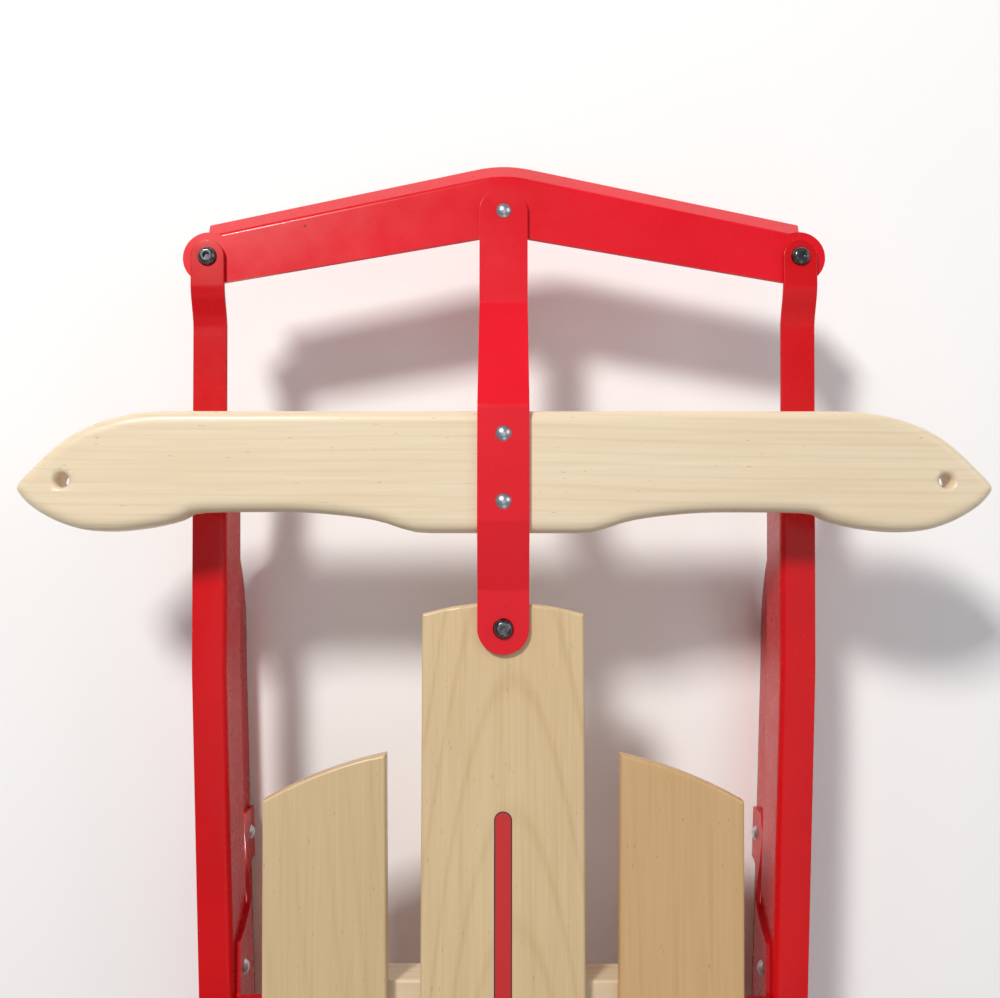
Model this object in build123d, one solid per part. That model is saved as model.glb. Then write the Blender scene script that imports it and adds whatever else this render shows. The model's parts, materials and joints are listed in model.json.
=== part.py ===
from build123d import *
import math
import os

# Steel-runner steering sled, in millimetres: +Y forward, +X to the rider's right, +Z up.
# Places along Y are counted from the steering pivot screw. The finished pieces are moved along Y
# so that the origin lies on the ground, below the middle of the sled's box.
# Everything for one side is built for the right side and mirrored for the left one.

os.makedirs("parts", exist_ok=True)

# ---- Overall sizes ----
LENGTH = 1219.0  # bumper nose to the runners' rear ends
BAR_SPAN = 565.0  # tip to tip of the steering bar
RAIL_TOP = 92.0  # top of the side rails above the ground

# ---- Clearances ----
BODY_GAP = 0.3  # between pieces that move against each other
HOLE_FIT = 0.1  # radial play of a fastener in a piece that it holds
RIM_GAP = 1.5  # radial play of the end screws in the bumper, for the steering's opened pivots

# ---- Steel strip and blade ----
STEEL = 3.0
STRAP_WIDTH = 30.0
STRAP_BEND = 8.0  # bend radius at mid-thickness
TIP_BEND = 6.0
RAIL_WIDTH = 21.0
RAIL_DEPTH = 35.0  # height of the rail's down-turned inner edge, top face included
RAIL_BEND = 2.5  # bend radius at mid-thickness
BLADE_THICK = 5.0
BLADE_DEPTH = 25.0
BLADE_OFFSET = 2.0  # blade outboard of the rail's centre line
HEEL_BEND = 57.5  # upturn at the blade's rear, radius at mid-depth

# ---- Wood ----
SLAT_THICK = 11.0
SLAT_EDGE = 1.8
BENCH_THICK = 26.0
BENCH_DEPTH = 60.0
BENCH_HALF = 128.0
BENCH_EDGE = 1.5
BAR_THICK = 19.0
BAR_TIP_R = 4.0

# ---- Places along the sled ----
STRAP_REACH = 256.7  # pivot screw to bumper rivet
STRAP_DECK_FLAT = 22.0  # straight run on the deck, from the pivot screw
STRAP_BAR_LAP = 7.0  # rear bend ahead of the bar's rear edge
STRAP_BAR_OVERHANG = 2.0  # front bend ahead of the bar's front edge
STRAP_NOSE_FLAT = 58.7  # straight run on the bumper, back from its rivet
NOSE_AHEAD = 20.7  # bumper's folded edge ahead of its rivet, on the centre line
BENCH_FIRST = -233.0
BENCH_PITCH = 251.0
BENCH_NAMES = ("front", "middle", "rear")
KNEE_BACK = 10.0  # knee centre behind its bench's centre
SLAT_REAR = -885.0

# ---- Steering bar, seen from above ----
BAR_FRONT = 125.9
BAR_REAR = 55.0
BAR_WAIST = 67.3
BAR_WAIST_X = 128.0
BAR_CENTER_HALF = 44.0  # half width of the middle rear lobe
# (in from the tip, back from the front edge)
BAR_NOSE = ((87.5, 0.0), (51.5, 5.2), (28.5, 16.0), (5.0, 38.0), (0.0, 45.4))
# (in from the tip, ahead of the rear edge)
BAR_LOBE = ((17.5, 9.8), (46.5, 0.9), (97.5, 8.1))
# (from the centre line, behind the waist)
BAR_SHOULDER = ((93.0, 2.1), (68.0, 6.6))
BAR_TOP_LIFT = 46.0  # bar's top above the rails' top
ROPE_HOLE_INSET = 28.0
ROPE_HOLE_Y = 85.0
ROPE_HOLE_R = 4.2
ROPE_HOLE_SINK = 1.6
BAR_RIVETS = (73.0, 112.0)

# ---- Bumper ----
BUMPER_END_X = 184.4
BUMPER_END_BACK = 28.9  # end screws behind the centre rivet
BUMPER_SLOPE = 0.213
BUMPER_APEX_R = 67.0
BUMPER_REAR = 242.6 - STRAP_REACH  # rear edge on the centre line, from the rivet
BUMPER_REAR_SLOPE = 0.174
BUMPER_END_R = 16.2
FLANGE_BEND = 4.0  # outer bend radius of the folded front edge
FLANGE_SLOPE = 45.0  # degrees below the plate
FLANGE_LENGTH = 13.7  # flat run below the bend

# ---- Side frames ----
HINGE_X = 180.8
REAR_TOE = 0.0405  # inward run of the rails per unit of length, behind the hinge
JOGGLE_START = 216.0
JOGGLE_RUN = 20.0
RAIL_LIP_END = 110.0
NOSE_BEND = 90.0
NOSE_SLOPE = 45.0  # degrees
NOSE_FLAT = 1.7  # straight run at the nose's upper end
NOSE_END = 152.0

# ---- Deck ----
CENTER_SLAT_HALF = 47.0
CENTER_SLAT_FRONT = 8.0
CENTER_SLAT_CROWN = 6.7
SIDE_SLAT_WIDTH = 71.0
SIDE_SLAT_X = 67.5
SIDE_SLAT_FRONT = -72.0
SIDE_SLAT_SWEEP = 26.0
SIDE_SLAT_CROWN = 3.0
SIDE_SLAT_TOE = 0.65  # degrees

# ---- Knees ----
KNEE_REACH = 92.0  # |x| where the knee's top flange ends, under the bench
KNEE_TOP_HALF = 19.0
KNEE_SHOULDER_HALF = 48.0
KNEE_FOOT_HALF = 112.0
KNEE_ARCH_HALF = 78.0
KNEE_ARCH_RISE = 46.0
KNEE_FOOT_BOTTOM = 4.0
KNEE_BEND = 4.0
KNEE_NECK = 6.0  # upright edge at the top of each side
KNEE_SHOULDER_DROP = 8.0
KNEE_LEG_OUT = 26.0  # where the leg's edge swells, outward from the shoulder
KNEE_LEG_Z = 46.0
KNEE_WEB_LAP = 2.0  # web below the rail's down-turned edge
KNEE_FOOT_LAP = 5.0  # foot above the blade

# ---- Fasteners ----
RIVET_R = 2.4
RIVET_HEAD_R = 4.75
RIVET_HEAD_H = 2.5
RIVET_TAIL_R = 3.8
RIVET_TAIL_H = 1.5
SCREW_R = 3.0
SCREW_HEAD_R = 6.0
SCREW_HEAD_H = 3.3
SCREW_FLAT_R = 3.3  # flat ring round the socket
SCREW_DOME_R = 4.4
SOCKET_FLATS = 4.0
SOCKET_DEPTH = 2.0
WASHER_R = 7.0
WASHER_THICK = 1.2
NUT_FLATS = 10.0
NUT_THICK = 5.0
SCREW_TAIL = 2.0  # thread that stands out of the nut
SIDE_RIVET_X = 80.0
CENTER_RIVET_X = 28.0
KNEE_RIVET_X = 106.0
KNEE_RIVET_STEP = 9.0
FOOT_RIVET_HALF = 96.0
RAIL_RIVET_HALF = 30.0

# ---- Heights and places that follow ----
RAIL_MID = RAIL_TOP - STEEL / 2
BENCH_TOP = RAIL_TOP + BENCH_THICK
DECK_TOP = BENCH_TOP + SLAT_THICK
BUMPER_TOP = RAIL_TOP + STEEL
ON_BUMPER = BUMPER_TOP + BODY_GAP
ON_DECK = DECK_TOP + BODY_GAP
BAR_TOP = RAIL_TOP + BAR_TOP_LIFT
BAR_BOTTOM = BAR_TOP - BAR_THICK
FLANGE_SIN = math.sin(math.radians(FLANGE_SLOPE))
FLANGE_COS = math.cos(math.radians(FLANGE_SLOPE))
FRONT_REACH = STRAP_REACH + NOSE_AHEAD + FLANGE_BEND * FLANGE_SIN + FLANGE_LENGTH * FLANGE_COS
ROW_SHIFT = LENGTH / 2 - FRONT_REACH
BUMPER_END_Y = STRAP_REACH - BUMPER_END_BACK
HINGE_Y = BUMPER_END_Y - STRAP_REACH
TIP_LEAN = math.degrees(math.atan2(BUMPER_END_X - HINGE_X, STRAP_REACH))
TIP_ARM = math.hypot(BUMPER_END_X - HINGE_X, STRAP_REACH)
REAR_LEAN = math.degrees(math.atan(REAR_TOE))
HEEL_OUT = BLADE_DEPTH / 2
RAIL_LENGTH = (LENGTH - FRONT_REACH + HINGE_Y) / math.cos(math.radians(REAR_LEAN))
FLANGE_X = -(RAIL_WIDTH - STEEL) / 2  # mid-plane of the rail's down-turned edge
BLADE_MID = BLADE_DEPTH / 2
BENCH_YS = [BENCH_FIRST - i * BENCH_PITCH for i in range(len(BENCH_NAMES))]
SIDE_DRILL = 20.0  # length of a sideways cutting cylinder
BIG = 4 * LENGTH


def drill(x, y, radius, low=0.0, high=300.0):
    """An upright cutting cylinder."""
    return Pos(x, y, (low + high) / 2) * Cylinder(radius, high - low)


def bent_strip(points, width, thickness, bend):
    """A strip that lies across X and follows (Y, Z) points at its mid-thickness."""
    path = Plane.YZ * FilletPolyline(*points, radius=bend)
    start = Plane(origin=path @ 0, x_dir=(1, 0, 0), z_dir=path % 0)
    return sweep(start * Rectangle(width, thickness), path=path)


def bent_plate(points, low_y, high_y, thickness, bend):
    """A plate that runs along Y and follows (X, Z) points at its mid-thickness."""
    path = Plane.XZ * FilletPolyline(*points, radius=bend)
    start = Plane(origin=path @ 0, x_dir=(0, 1, 0), z_dir=path % 0)
    plate = sweep(start * Rectangle(high_y - low_y, thickness), path=path)
    return Pos(0, (low_y + high_y) / 2, 0) * plate


def bulge(start, end, rise):
    """An arc from start to end that swells to the left of its way by rise."""
    run = math.hypot(end[0] - start[0], end[1] - start[1])
    side = ((start[1] - end[1]) / run, (end[0] - start[0]) / run)
    middle = tuple((start[i] + end[i]) / 2 + side[i] * rise for i in (0, 1))
    return ThreePointArc(start, middle, end)


def board(outline, bottom, thickness, edge):
    """A board with an outline seen from above and rounded upper and lower edges."""
    solid = Pos(0, 0, bottom) * extrude(outline, amount=thickness)
    levels = solid.edges().group_by(Axis.Z)
    return fillet(levels[0] + levels[-1], radius=edge)


def on_rear_side(shape):
    """Move a piece from the right side frame's own axes, behind the hinge, to the sled."""
    return Pos(HINGE_X, HINGE_Y, 0) * Rot(0, 0, -REAR_LEAN) * shape


def on_tip_side(shape):
    """Move a piece from the right runner tip's own axes, ahead of the hinge, to the sled."""
    return Pos(HINGE_X, HINGE_Y, 0) * Rot(0, 0, -TIP_LEAN) * shape


def ahead_of_hinge(radius):
    """All that lies ahead of the hinge line, with a round end about the hinge axis."""
    return Pos(0, BIG / 2, 0) * Box(BIG, BIG, BIG) + Cylinder(radius, BIG)


def rail_x(y):
    """The right rail's centre line behind the hinge."""
    return HINGE_X + (y - HINGE_Y) * REAR_TOE


def domed_rivet(grip):
    """A rivet with its head on z = 0 and its tail closed at z = -grip."""
    dome = (RIVET_HEAD_R**2 + RIVET_HEAD_H**2) / (2 * RIVET_HEAD_H)
    head = RadiusArc((0, RIVET_HEAD_H), (RIVET_HEAD_R, 0), dome)
    body = Polyline(
        (RIVET_HEAD_R, 0),
        (RIVET_R, 0),
        (RIVET_R, -grip),
        (RIVET_TAIL_R, -grip),
        (RIVET_TAIL_R, -grip - RIVET_TAIL_H),
        (0, -grip - RIVET_TAIL_H),
        (0, RIVET_HEAD_H),
    )
    return revolve(Plane.XZ * make_face(head + body), axis=Axis.Z)


def socket_screw(length):
    """A button-head socket screw with its head on z = 0."""
    head = RadiusArc((SCREW_FLAT_R, SCREW_HEAD_H), (SCREW_HEAD_R, 0), SCREW_DOME_R)
    body = Polyline(
        (SCREW_HEAD_R, 0),
        (SCREW_R, 0),
        (SCREW_R, -length),
        (0, -length),
        (0, SCREW_HEAD_H),
        (SCREW_FLAT_R, SCREW_HEAD_H),
    )
    screw = revolve(Plane.XZ * make_face(head + body), axis=Axis.Z)
    socket = extrude(RegularPolygon(SOCKET_FLATS / 2, 6, major_radius=False), amount=SCREW_HEAD_H)
    return screw - Pos(0, 0, SCREW_HEAD_H - SOCKET_DEPTH) * socket


def washer():
    """A flat washer with its upper face on z = 0."""
    return Pos(0, 0, -WASHER_THICK / 2) * (
        Cylinder(WASHER_R, WASHER_THICK) - Cylinder(SCREW_R + HOLE_FIT, WASHER_THICK)
    )


def nut():
    """A hexagon nut with its upper face on z = 0."""
    body = extrude(RegularPolygon(NUT_FLATS / 2, 6, major_radius=False), amount=-NUT_THICK)
    return body - drill(0, 0, SCREW_R + HOLE_FIT, -NUT_THICK, 0)


def steering_strap():
    """Strip from the pivot, up over the bar and down to the bumper."""
    on_deck = ON_DECK + STEEL / 2
    on_bar = BAR_TOP + STEEL / 2
    on_bumper = ON_BUMPER + STEEL / 2
    points = [
        (0, on_deck),
        (STRAP_DECK_FLAT, on_deck),
        (BAR_REAR + STRAP_BAR_LAP, on_bar),
        (BAR_FRONT + STRAP_BAR_OVERHANG, on_bar),
        (STRAP_REACH - STRAP_NOSE_FLAT, on_bumper),
        (STRAP_REACH, on_bumper),
    ]
    strap = bent_strip(points, STRAP_WIDTH, STEEL, STRAP_BEND)
    strap += Pos(0, 0, on_deck) * Cylinder(STRAP_WIDTH / 2, STEEL)
    strap += Pos(0, STRAP_REACH, on_bumper) * Cylinder(STRAP_WIDTH / 2, STEEL)
    return strap


def strap_with_holes():
    """The strap, drilled for its pivot screw, the bar's rivets and the bumper's rivet."""
    strap = steering_strap() - drill(0, 0, SCREW_R + BODY_GAP)
    strap -= drill(0, STRAP_REACH, RIVET_R + BODY_GAP)
    for y in BAR_RIVETS:
        strap -= drill(0, y, RIVET_R + HOLE_FIT)
    return strap


def steering_bar():
    """Board with pointed tips, a rounded front, two rear lobes and a waist each side."""
    tip = BAR_SPAN / 2
    waist = (BAR_WAIST_X, BAR_WAIST)
    centre = (BAR_CENTER_HALF, BAR_REAR)
    nose = [(tip - inward, BAR_FRONT - back) for inward, back in BAR_NOSE]
    lobe = [nose[-1], *[(tip - inward, BAR_REAR + ahead) for inward, ahead in BAR_LOBE], waist]
    shoulder = [waist, *[(x, BAR_WAIST - behind) for x, behind in BAR_SHOULDER], centre]
    half = (
        Line((0, BAR_FRONT), nose[0])
        + Spline(*nose, tangents=[(1, 0), (0.35, -1)])
        + Spline(*lobe, tangents=[(-0.55, -1), (-1, 0)])
        + Spline(*shoulder, tangents=[(-1, 0), (-1, 0)])
        + Line(centre, (0, BAR_REAR))
    )
    outline = make_face(half + mirror(half, about=Plane.YZ))
    points = outline.vertices().sort_by(Axis.X)
    outline = fillet([points[0], points[-1]], radius=BAR_TIP_R)
    bar = Pos(0, 0, BAR_BOTTOM) * extrude(outline, amount=BAR_THICK)
    for side in (-1, 1):
        place = Pos(side * (tip - ROPE_HOLE_INSET), ROPE_HOLE_Y, 0)
        bar -= place * drill(0, 0, ROPE_HOLE_R)
        sink = Cone(ROPE_HOLE_R, ROPE_HOLE_R + ROPE_HOLE_SINK, ROPE_HOLE_SINK)
        bar -= place * Pos(0, 0, BAR_TOP - ROPE_HOLE_SINK / 2) * sink
        bar -= place * Pos(0, 0, BAR_BOTTOM + ROPE_HOLE_SINK / 2) * Rot(180, 0, 0) * sink
    for y in BAR_RIVETS:
        bar -= drill(0, y, RIVET_R + HOLE_FIT)
    return bar - steering_strap()


def bumper():
    """Chevron plate with a folded front edge and round ends."""
    crease = STRAP_REACH + NOSE_AHEAD
    drop = BUMPER_APEX_R * (1 / math.cos(math.atan(BUMPER_SLOPE)) - 1)
    apex = crease + drop
    end_y = apex - BUMPER_SLOPE * BUMPER_END_X
    fold = FilletPolyline((-BUMPER_END_X, end_y), (0, apex), (BUMPER_END_X, end_y), radius=BUMPER_APEX_R)
    rear = STRAP_REACH + BUMPER_REAR
    rear_y = rear - BUMPER_REAR_SLOPE * BUMPER_END_X
    back = Polyline((BUMPER_END_X, end_y), (BUMPER_END_X, rear_y), (0, rear),
                    (-BUMPER_END_X, rear_y), (-BUMPER_END_X, end_y))
    plate = Pos(0, 0, RAIL_TOP) * extrude(make_face(fold + back), amount=STEEL)
    centre = BUMPER_TOP - FLANGE_BEND
    run = FLANGE_LENGTH * FLANGE_COS
    fall = FLANGE_LENGTH * FLANGE_SIN
    bend = [(r * FLANGE_SIN, centre + r * FLANGE_COS) for r in (FLANGE_BEND, FLANGE_BEND - STEEL)]
    ends = [(u + run, z - fall) for u, z in bend]
    section = (
        RadiusArc((0, BUMPER_TOP), bend[0], FLANGE_BEND)
        + Polyline(bend[0], ends[0], ends[1], bend[1])
        + RadiusArc(bend[1], (0, RAIL_TOP), STEEL - FLANGE_BEND)
        + Line((0, RAIL_TOP), (0, BUMPER_TOP))
    )
    start = fold % 0
    outward = (-start.Y, start.X, 0)
    place = Plane(origin=fold @ 0, x_dir=outward, z_dir=start)
    solid = plate + sweep(place * make_face(section), path=fold)
    for side in (-1, 1):
        solid += drill(side * BUMPER_END_X, BUMPER_END_Y, BUMPER_END_R, RAIL_TOP, BUMPER_TOP)
    for side in (-1, 1):
        solid -= drill(side * BUMPER_END_X, BUMPER_END_Y, SCREW_R + RIM_GAP)
    return solid - drill(0, STRAP_REACH, RIVET_R + HOLE_FIT)


def rail_section(low_y, high_y):
    """Rail with its inner edge turned down."""
    points = [(RAIL_WIDTH / 2, RAIL_MID), (FLANGE_X, RAIL_MID), (FLANGE_X, RAIL_TOP - RAIL_DEPTH)]
    return bent_plate(points, low_y, high_y, STEEL, RAIL_BEND)


def behind_tip(shape):
    """Hollow a rail piece's front for the tip's round end."""
    return shape - Cylinder(RAIL_WIDTH / 2 + BODY_GAP, BIG)


def side_rail():
    """Flat top of the right rail, behind the hinge."""
    strip = Pos(0, -RAIL_LENGTH / 2, RAIL_MID) * Box(RAIL_WIDTH, RAIL_LENGTH, STEEL)
    return on_rear_side(behind_tip(strip))


def rail_web():
    """Upright inner edge of the right rail, behind the hinge."""
    depth = RAIL_DEPTH - STEEL
    web = Pos(FLANGE_X, -RAIL_LENGTH / 2, RAIL_TOP - STEEL - depth / 2) * Box(STEEL, RAIL_LENGTH, depth)
    for bench_y in BENCH_YS:
        for step in (-RAIL_RIVET_HALF, RAIL_RIVET_HALF):
            web -= rail_rivet_place(bench_y, step) * Rot(0, 90, 0) * Cylinder(RIVET_R + HOLE_FIT, SIDE_DRILL)
    return on_rear_side(behind_tip(web))


def rail_tip():
    """Right rail ahead of the hinge: lip under the bar, step up, round end on the bumper."""
    end_mid = ON_BUMPER + STEEL / 2
    raised = JOGGLE_START + JOGGLE_RUN
    points = [(-RAIL_WIDTH, RAIL_MID), (JOGGLE_START, RAIL_MID), (raised, end_mid), (TIP_ARM, end_mid)]
    strip = bent_strip(points, RAIL_WIDTH, STEEL, TIP_BEND)
    strip = strip + rail_section(-RAIL_WIDTH, RAIL_LIP_END)
    strip = strip + Pos(0, TIP_ARM, end_mid) * Cylinder(RAIL_WIDTH / 2, STEEL)
    strip = strip & ahead_of_hinge(RAIL_WIDTH / 2)
    return on_tip_side(strip - drill(0, TIP_ARM, SCREW_R + HOLE_FIT))


def blade(points, bend):
    """Upright blade that follows (Y, Z) points at its mid-depth."""
    return Pos(BLADE_OFFSET, 0, 0) * bent_strip(points, BLADE_THICK, BLADE_DEPTH, bend)


def runner():
    """Right runner behind the hinge, with its heel turned up to the rail."""
    heel_y = -(RAIL_LENGTH - HEEL_OUT)
    under_rail = RAIL_TOP - STEEL
    solid = blade([(0, BLADE_MID), (heel_y, BLADE_MID), (heel_y, under_rail)], HEEL_BEND)
    solid -= Cylinder(BLADE_OFFSET + BLADE_THICK / 2 + BODY_GAP, BIG)
    for bench_y in BENCH_YS:
        for step in (-FOOT_RIVET_HALF, FOOT_RIVET_HALF):
            solid -= foot_rivet_place(bench_y, step) * Rot(0, 90, 0) * Cylinder(RIVET_R + HOLE_FIT, SIDE_DRILL)
    return on_rear_side(solid)


def runner_nose():
    """Right runner ahead of the hinge, rising to the underside of the rail's tip."""
    high = RAIL_TOP - STEEL - BLADE_MID
    rise = high - BLADE_MID
    upper = NOSE_END - NOSE_FLAT - NOSE_BEND * math.tan(math.radians(NOSE_SLOPE / 2))
    lower = upper - rise / math.tan(math.radians(NOSE_SLOPE))
    points = [(-RAIL_WIDTH, BLADE_MID), (lower, BLADE_MID), (upper, high), (NOSE_END, high)]
    solid = blade(points, NOSE_BEND) & ahead_of_hinge(BLADE_OFFSET + BLADE_THICK / 2)
    return on_tip_side(solid)


def knee_y(bench_y):
    """Knee centre in the side frame's own axes."""
    return (bench_y - KNEE_BACK - HINGE_Y) / math.cos(math.radians(REAR_LEAN))


def knee_web_x():
    """Mid-plane of the knee's upper web, against the rail's down-turned edge."""
    return -(RAIL_WIDTH + STEEL) / 2


def knee_foot_x():
    """Mid-plane of the knee's feet, against the blade's inner side."""
    return BLADE_OFFSET - (BLADE_THICK + STEEL) / 2


def foot_rivet_place(bench_y, step):
    """Seat of a rivet that holds a knee's foot to the blade; local X is the rivet's way out."""
    return Pos(knee_foot_x() - STEEL / 2, knee_y(bench_y) + step, BLADE_MID)


def rail_rivet_place(bench_y, step):
    """Seat of a rivet that holds a knee's web to the rail's down-turned edge."""
    return Pos(knee_web_x() - STEEL / 2, knee_y(bench_y) + step, RAIL_TOP - RAIL_DEPTH / 2)


def knee_outline():
    """Side view of a knee: narrow top, splayed legs and an arch between the feet."""
    shoulder = (KNEE_SHOULDER_HALF, RAIL_TOP - KNEE_SHOULDER_DROP)
    leg = (KNEE_SHOULDER_HALF + KNEE_LEG_OUT, KNEE_LEG_Z)
    foot = (KNEE_FOOT_HALF, BLADE_DEPTH)
    right = (
        Polyline((0, RAIL_TOP), (KNEE_TOP_HALF, RAIL_TOP), (KNEE_TOP_HALF, RAIL_TOP - KNEE_NECK), shoulder)
        + ThreePointArc(shoulder, leg, foot)
        + Polyline(foot, (KNEE_FOOT_HALF, KNEE_FOOT_BOTTOM), (0, KNEE_FOOT_BOTTOM))
    )
    whole = make_face(right + mirror(right, about=Plane.YZ))
    return whole - Pos(0, KNEE_FOOT_BOTTOM) * Ellipse(KNEE_ARCH_HALF, KNEE_ARCH_RISE)


def knee(bench_y):
    """Right knee: flange under the bench, web on the rail, feet on the blade."""
    web = knee_web_x()
    foot = knee_foot_x()
    flange_end = KNEE_REACH - rail_x(bench_y - KNEE_BACK)
    points = [
        (flange_end, RAIL_MID),
        (web, RAIL_MID),
        (web, RAIL_TOP - RAIL_DEPTH - KNEE_WEB_LAP),
        (foot, BLADE_DEPTH + KNEE_FOOT_LAP),
        (foot, 0),
    ]
    sheet = bent_plate(points, -KNEE_FOOT_HALF, KNEE_FOOT_HALF, STEEL, KNEE_BEND)
    solid = sheet & extrude(Plane.YZ * knee_outline(), amount=BENCH_HALF, both=True)
    solid = Pos(0, knee_y(bench_y), 0) * solid
    for step in (-FOOT_RIVET_HALF, FOOT_RIVET_HALF):
        solid -= foot_rivet_place(bench_y, step) * Rot(0, 90, 0) * Cylinder(RIVET_R + HOLE_FIT, SIDE_DRILL)
    for step in (-RAIL_RIVET_HALF, RAIL_RIVET_HALF):
        solid -= rail_rivet_place(bench_y, step) * Rot(0, 90, 0) * Cylinder(RIVET_R + HOLE_FIT, SIDE_DRILL)
    solid = on_rear_side(solid)
    for x, y in knee_bench_rivets(bench_y):
        solid -= drill(x, y, RIVET_R + HOLE_FIT)
    return solid


def knee_rivets(bench_y):
    """Right side's rivets of one knee: two at the feet and two at the rail."""
    rivets = []
    for step in (-FOOT_RIVET_HALF, FOOT_RIVET_HALF):
        place = foot_rivet_place(bench_y, step) * Rot(0, -90, 0)
        rivets.append(on_rear_side(place * domed_rivet(STEEL + BLADE_THICK)))
    for step in (-RAIL_RIVET_HALF, RAIL_RIVET_HALF):
        place = rail_rivet_place(bench_y, step) * Rot(0, -90, 0)
        rivets.append(on_rear_side(place * domed_rivet(2 * STEEL)))
    return rivets


def knee_bench_rivets(bench_y):
    """Places, seen from above, of the long rivets through slat, bench and right knee."""
    middle = bench_y - KNEE_BACK
    return [(KNEE_RIVET_X, middle + step) for step in (-KNEE_RIVET_STEP, KNEE_RIVET_STEP)]


def deck_rivets(bench_y):
    """Places of one bench's rivets: (x, y, grip)."""
    short = SLAT_THICK + BENCH_THICK
    places = [(x, bench_y, short) for x in (-SIDE_RIVET_X, -CENTER_RIVET_X, CENTER_RIVET_X, SIDE_RIVET_X)]
    for x, y in knee_bench_rivets(bench_y):
        places += [(x, y, short + STEEL), (-x, y, short + STEEL)]
    return places


def deck_drilled(solid):
    """A slat or bench with the holes of all deck rivets that meet it."""
    for bench_y in BENCH_YS:
        for x, y, _ in deck_rivets(bench_y):
            solid -= drill(x, y, RIVET_R + HOLE_FIT)
    return solid


def center_slat():
    """Middle slat, crowned at both ends, drilled for the pivot screw."""
    half = CENTER_SLAT_HALF
    outline = make_face(
        bulge((-half, CENTER_SLAT_FRONT), (half, CENTER_SLAT_FRONT), CENTER_SLAT_CROWN)
        + Line((half, CENTER_SLAT_FRONT), (half, SLAT_REAR))
        + bulge((half, SLAT_REAR), (-half, SLAT_REAR), CENTER_SLAT_CROWN)
        + Line((-half, SLAT_REAR), (-half, CENTER_SLAT_FRONT))
    )
    slat = board(outline, BENCH_TOP, SLAT_THICK, SLAT_EDGE)
    return deck_drilled(slat - drill(0, 0, SCREW_R + HOLE_FIT))


def side_slat():
    """Right slat, with swept and crowned ends, turned slightly inward to the rear."""
    width = SIDE_SLAT_WIDTH
    rear = SLAT_REAR - SIDE_SLAT_FRONT
    outline = make_face(
        bulge((0, 0), (width, -SIDE_SLAT_SWEEP), SIDE_SLAT_CROWN)
        + Line((width, -SIDE_SLAT_SWEEP), (width, rear + SIDE_SLAT_SWEEP))
        + bulge((width, rear + SIDE_SLAT_SWEEP), (0, rear), SIDE_SLAT_CROWN)
        + Line((0, rear), (0, 0))
    )
    slat = board(outline, BENCH_TOP, SLAT_THICK, SLAT_EDGE)
    slat = Pos(SIDE_SLAT_X, SIDE_SLAT_FRONT, 0) * Rot(0, 0, -SIDE_SLAT_TOE) * slat
    return deck_drilled(slat)


def bench(bench_y):
    """Cross board below the slats."""
    outline = Pos(0, bench_y) * Rectangle(2 * BENCH_HALF, BENCH_DEPTH)
    return deck_drilled(board(outline, RAIL_TOP, BENCH_THICK, BENCH_EDGE))


def write(name, *solids):
    """Write one node in the sled's final axes."""
    placed = [Pos(0, ROW_SHIFT, 0) * solid for solid in solids]
    shape = placed[0] if len(placed) == 1 else Compound(children=placed)
    export_step(shape, f"parts/{name}.step")


def write_pair(name, *solids):
    """Write a right-hand piece and its mirrored left-hand twin."""
    write(f"{name}_right", *solids)
    write(f"{name}_left", *[mirror(solid, about=Plane.YZ) for solid in solids])


write("center_slat", center_slat())
write_pair("side_slat", side_slat())
write_pair("side_rail", side_rail())
write_pair("rail_web", rail_web())
write_pair("rail_tip", rail_tip())
write_pair("runner", runner())
write_pair("runner_nose", runner_nose())
write("steering_strap", strap_with_holes())
write("steering_bar", steering_bar())
write("bar_rivets", *[Pos(0, y, BAR_TOP + STEEL) * domed_rivet(STEEL + BAR_THICK) for y in BAR_RIVETS])
write("bumper", bumper())

strap_on_bumper = ON_BUMPER + STEEL + BODY_GAP
write("bumper_rivet", Pos(0, STRAP_REACH, strap_on_bumper) * domed_rivet(strap_on_bumper - RAIL_TOP))

for name, y in zip(BENCH_NAMES, BENCH_YS):
    write(f"{name}_bench", bench(y))
    write_pair(f"{name}_knee", knee(y))
    rivets = knee_rivets(y)
    write(f"{name}_knee_rivets", *rivets, *[mirror(rivet, about=Plane.YZ) for rivet in rivets])
    write(f"{name}_deck_rivets", *[Pos(x, py, DECK_TOP) * domed_rivet(grip) for x, py, grip in deck_rivets(y)])

pivot_seat = ON_DECK + STEEL + BODY_GAP
pivot_stack = WASHER_THICK + NUT_THICK + SCREW_TAIL
write("pivot_screw", Pos(0, 0, pivot_seat) * socket_screw(pivot_seat - BENCH_TOP + pivot_stack))
write("pivot_washer", Pos(0, 0, BENCH_TOP) * washer())
write("pivot_nut", Pos(0, 0, BENCH_TOP - WASHER_THICK) * nut())

end_seat = ON_BUMPER + STEEL
end_under = RAIL_TOP - BODY_GAP
end_screw = socket_screw(end_seat - end_under + pivot_stack)
write_pair("bumper_screw", on_tip_side(Pos(0, TIP_ARM, end_seat) * end_screw))
write_pair("bumper_washer", on_tip_side(Pos(0, TIP_ARM, end_under) * washer()))
write_pair("bumper_nut", on_tip_side(Pos(0, TIP_ARM, end_under - WASHER_THICK) * nut()))
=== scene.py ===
import json
import logging
import math
from dataclasses import dataclass, field
from enum import Enum
from typing import Iterable, Sequence, Union

import bmesh
import bpy
from mathutils import Matrix, Vector
from mathutils.geometry import intersect_point_line

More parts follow.
